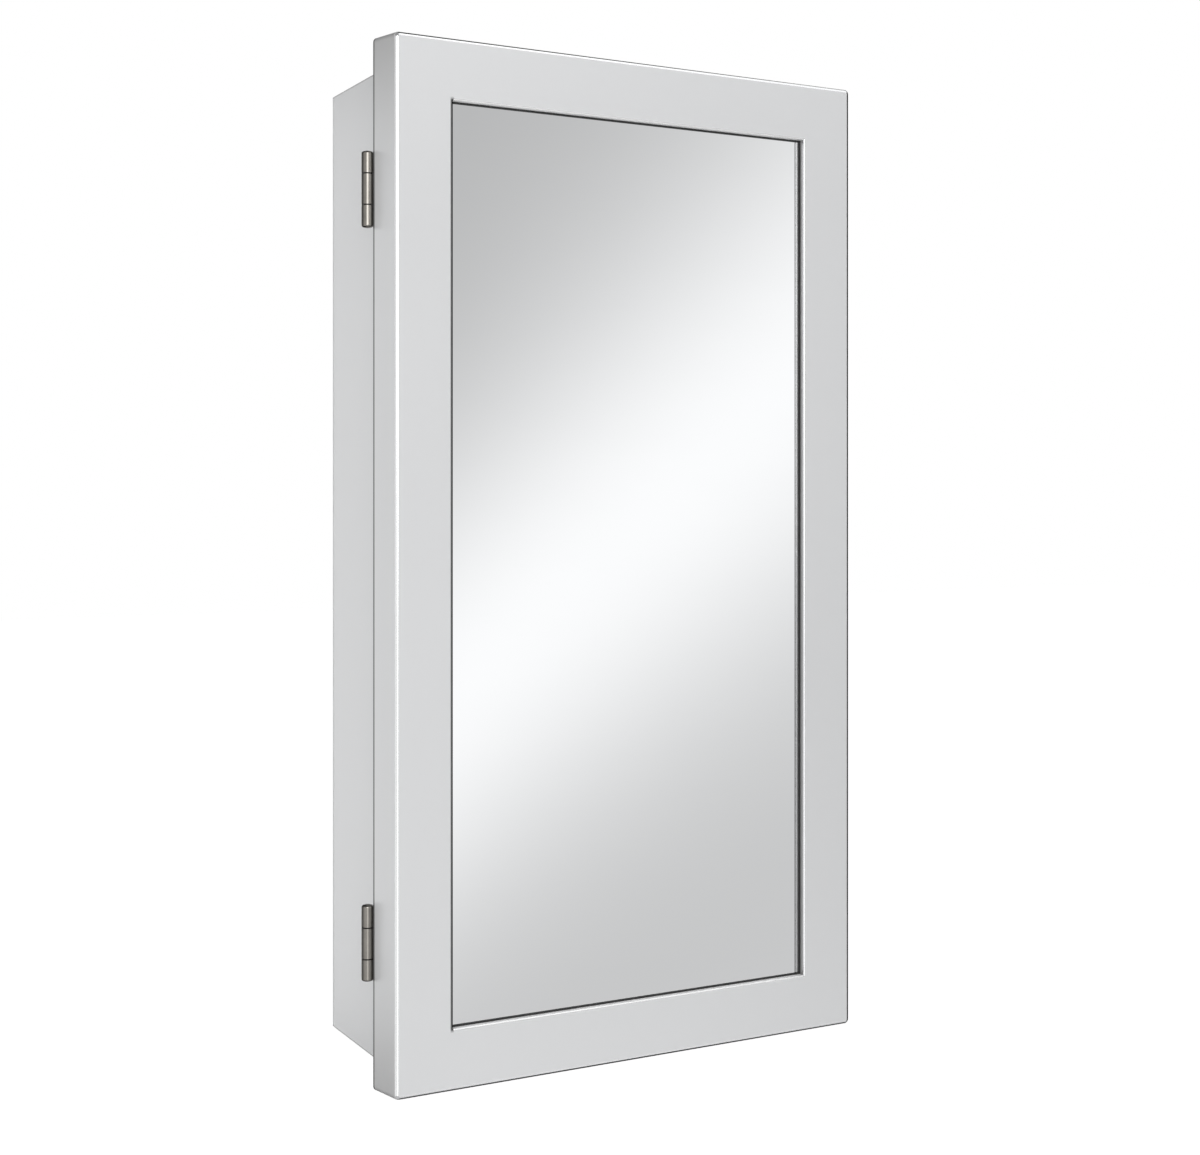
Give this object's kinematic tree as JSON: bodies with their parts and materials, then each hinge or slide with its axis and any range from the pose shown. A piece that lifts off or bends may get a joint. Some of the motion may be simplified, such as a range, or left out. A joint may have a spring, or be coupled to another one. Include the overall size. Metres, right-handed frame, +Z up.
{
  "type": "medicine cabinet",
  "caption": "Surface-mounted steel medicine cabinet: a shallow wall box with glass shelves behind an overlay door, a wide flat metal frame around a recessed mirror on butt hinges.",
  "frame": {"origin": "centre of the back face, in the plane of the wall", "axes": "+Z up, +Y into the wall, so the mirror faces -Y; +X to the right of a person facing the mirror"},
  "size_m": [0.3566, 0.1421, 0.668],
  "materials": {
    "silver_enamel": "satin silver-grey baked enamel on sheet steel",
    "mirror": "silvered float glass, polished",
    "black_seal": "matt black",
    "pad_felt": "grey felt",
    "core_board": "brown honeycomb board",
    "shelf_glass": "clear float glass, ground edges",
    "nickel": "polished nickel plate",
    "zinc_steel": "bright zinc plate",
    "white_plastic": "moulded, satin",
    "magnet_ferrite": "ground ferrite",
    "bumper_rubber": "grey, matt"
  },
  "bodies": {
    "cabinet": {"left_side_panel": "silver_enamel", "right_side_panel": "silver_enamel", "top_panel": "silver_enamel", "bottom_panel": "silver_enamel", "back_panel": "silver_enamel", "shelf_strip_front_left": "zinc_steel", "shelf_strip_front_right": "zinc_steel", "shelf_strip_rear_left": "zinc_steel", "shelf_strip_rear_right": "zinc_steel", "upper_shelf": "shelf_glass", "middle_shelf": "shelf_glass", "lower_shelf": "shelf_glass", "upper_shelf_clips": "zinc_steel", "middle_shelf_clips": "zinc_steel", "lower_shelf_clips": "zinc_steel", "upper_hinge_box_leaf": "nickel", "lower_hinge_box_leaf": "nickel", "hinge_pins": "nickel", "catch_housing": "white_plastic", "catch_magnet": "magnet_ferrite", "catch_pole_plates": "zinc_steel", "door_bumpers": "bumper_rubber"},
    "door": {"door_frame": "silver_enamel", "mirror_glass": "mirror", "mirror_seal": "black_seal", "mirror_pad": "pad_felt", "door_core": "core_board", "door_back_cover": "silver_enamel", "cover_screws": "zinc_steel", "upper_hinge_door_leaf": "nickel", "lower_hinge_door_leaf": "nickel", "hinge_screws": "nickel", "strike_plate": "zinc_steel"}
  },
  "joints": [
    {"name": "door_hinge", "type": "hinge", "parent": "cabinet", "child": "door", "pos_m": [-0.17777, -0.10775, 0], "axis": [0, 0, -1], "range_deg": [0, 180]}
  ]
}
